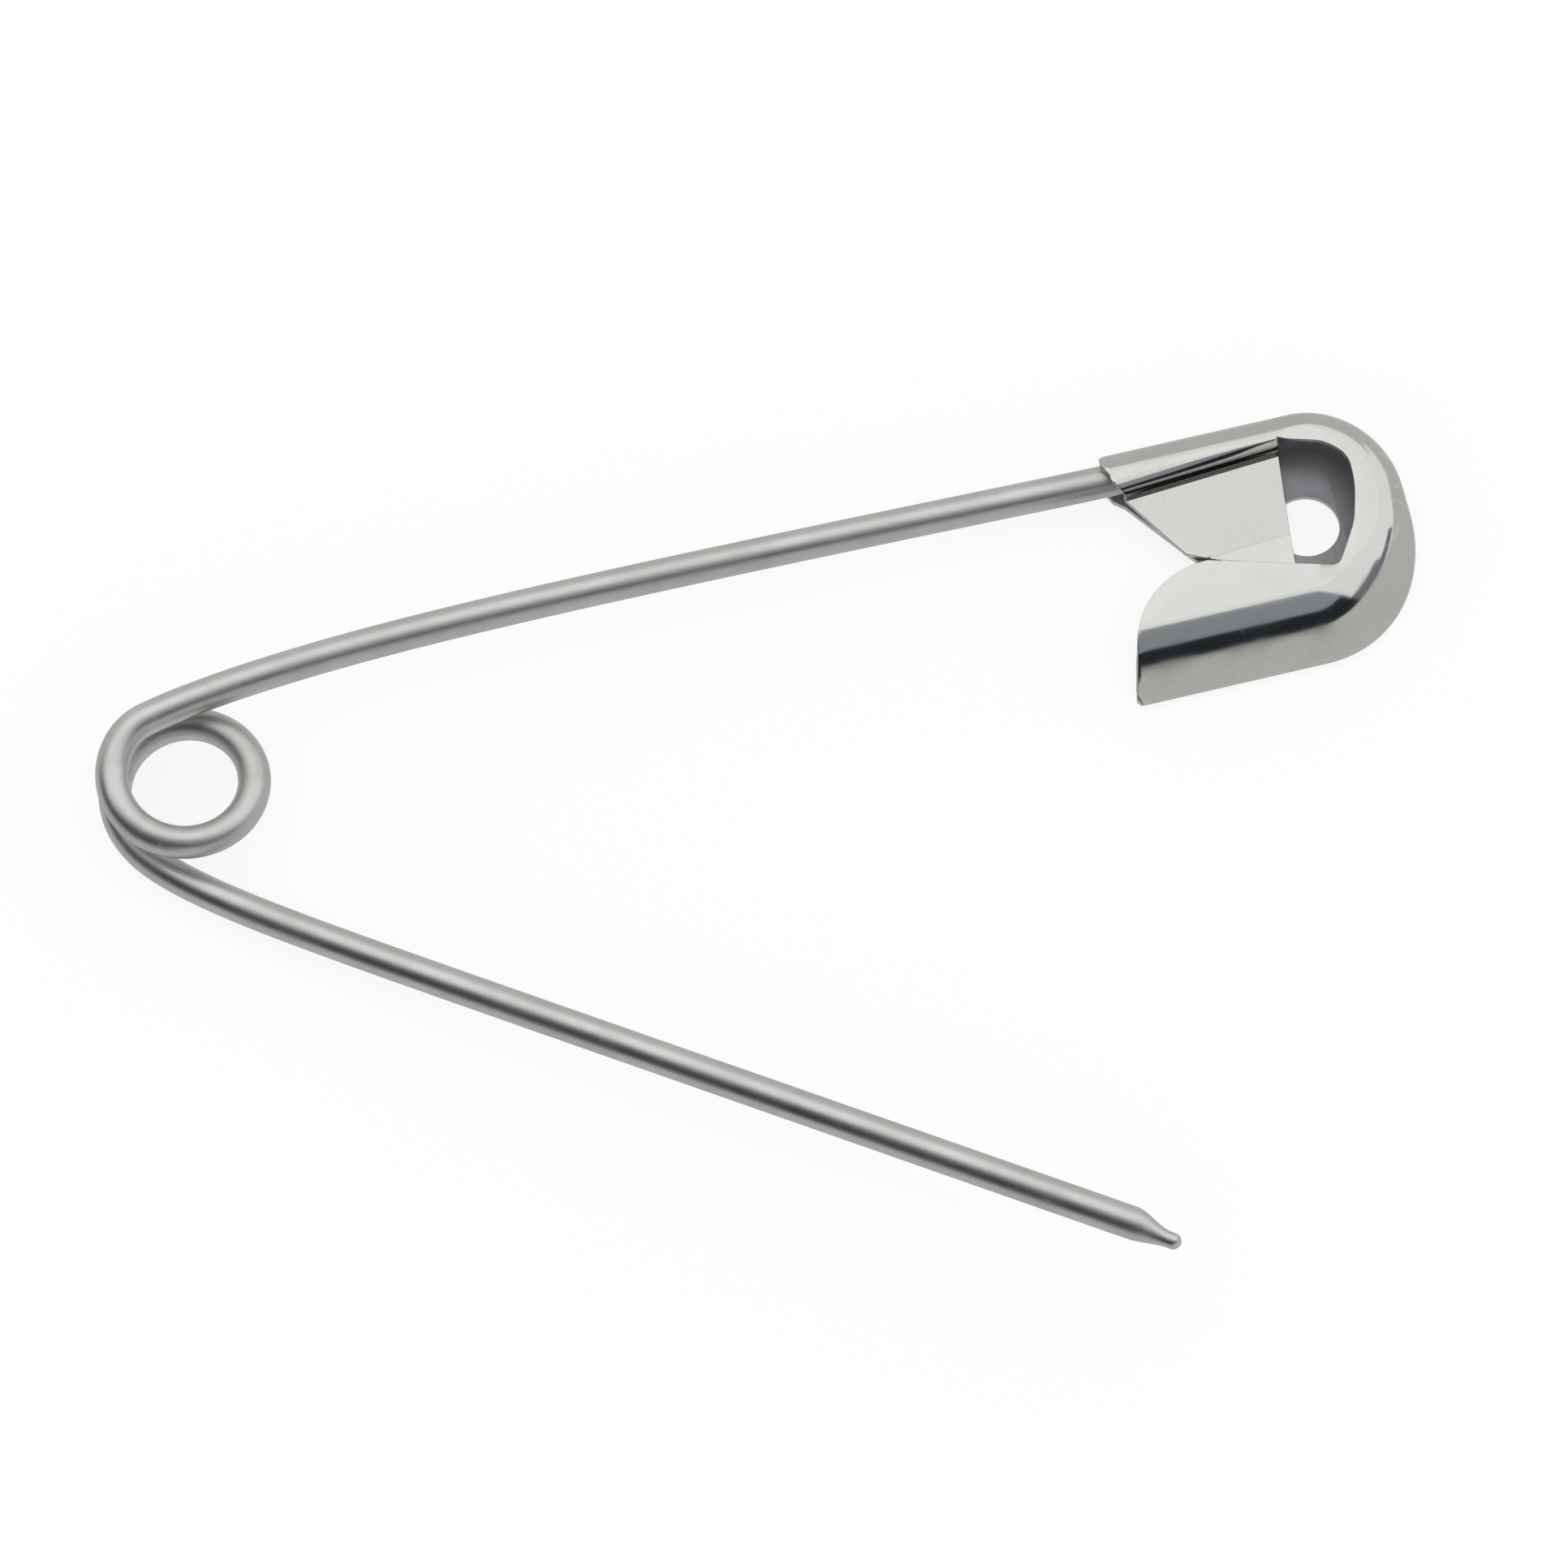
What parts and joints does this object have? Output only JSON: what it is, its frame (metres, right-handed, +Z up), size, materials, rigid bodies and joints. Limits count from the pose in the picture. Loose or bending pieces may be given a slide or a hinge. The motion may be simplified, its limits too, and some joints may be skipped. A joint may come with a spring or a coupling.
{
  "type": "safety pin",
  "caption": "Open safety pin of bent round wire with a spring coil, a ground point and a folded sheet clasp.",
  "frame": {"origin": "middle of the bounding box in plan, on the surface that the pin lies on", "axes": "+X along the fixed arm towards the clasp, +Z up from the surface, through the plane of the pin"},
  "size_m": [0.0512, 0.0332, 0.0038],
  "materials": {
    "clasp_nickel": "bright nickel plate on folded steel sheet",
    "wire_nickel": "bright nickel plate on drawn steel wire"
  },
  "bodies": {
    "frame": {"clasp": "clasp_nickel", "fixed_arm": "wire_nickel"},
    "coil": {"spring_coil": "wire_nickel"},
    "pin": {"pin_arm": "wire_nickel"}
  },
  "joints": [
    {"name": "pin_swing", "type": "hinge", "parent": "frame", "child": "coil", "pos_m": [-0.02232, 0.01162, 0], "axis": [0, 0, 1], "range_deg": [0, 42], "stiffness_Nm_per_rad": 0.3, "deforming": ["spring_coil"]},
    {"name": "pin_side_flex", "type": "hinge", "parent": "coil", "child": "pin", "pos_m": [-0.02232, 0.01162, 0.00062], "axis": [0.5948, 0.8039, 0], "range_deg": [0, 2.8], "stiffness_Nm_per_rad": 0.5}
  ]
}
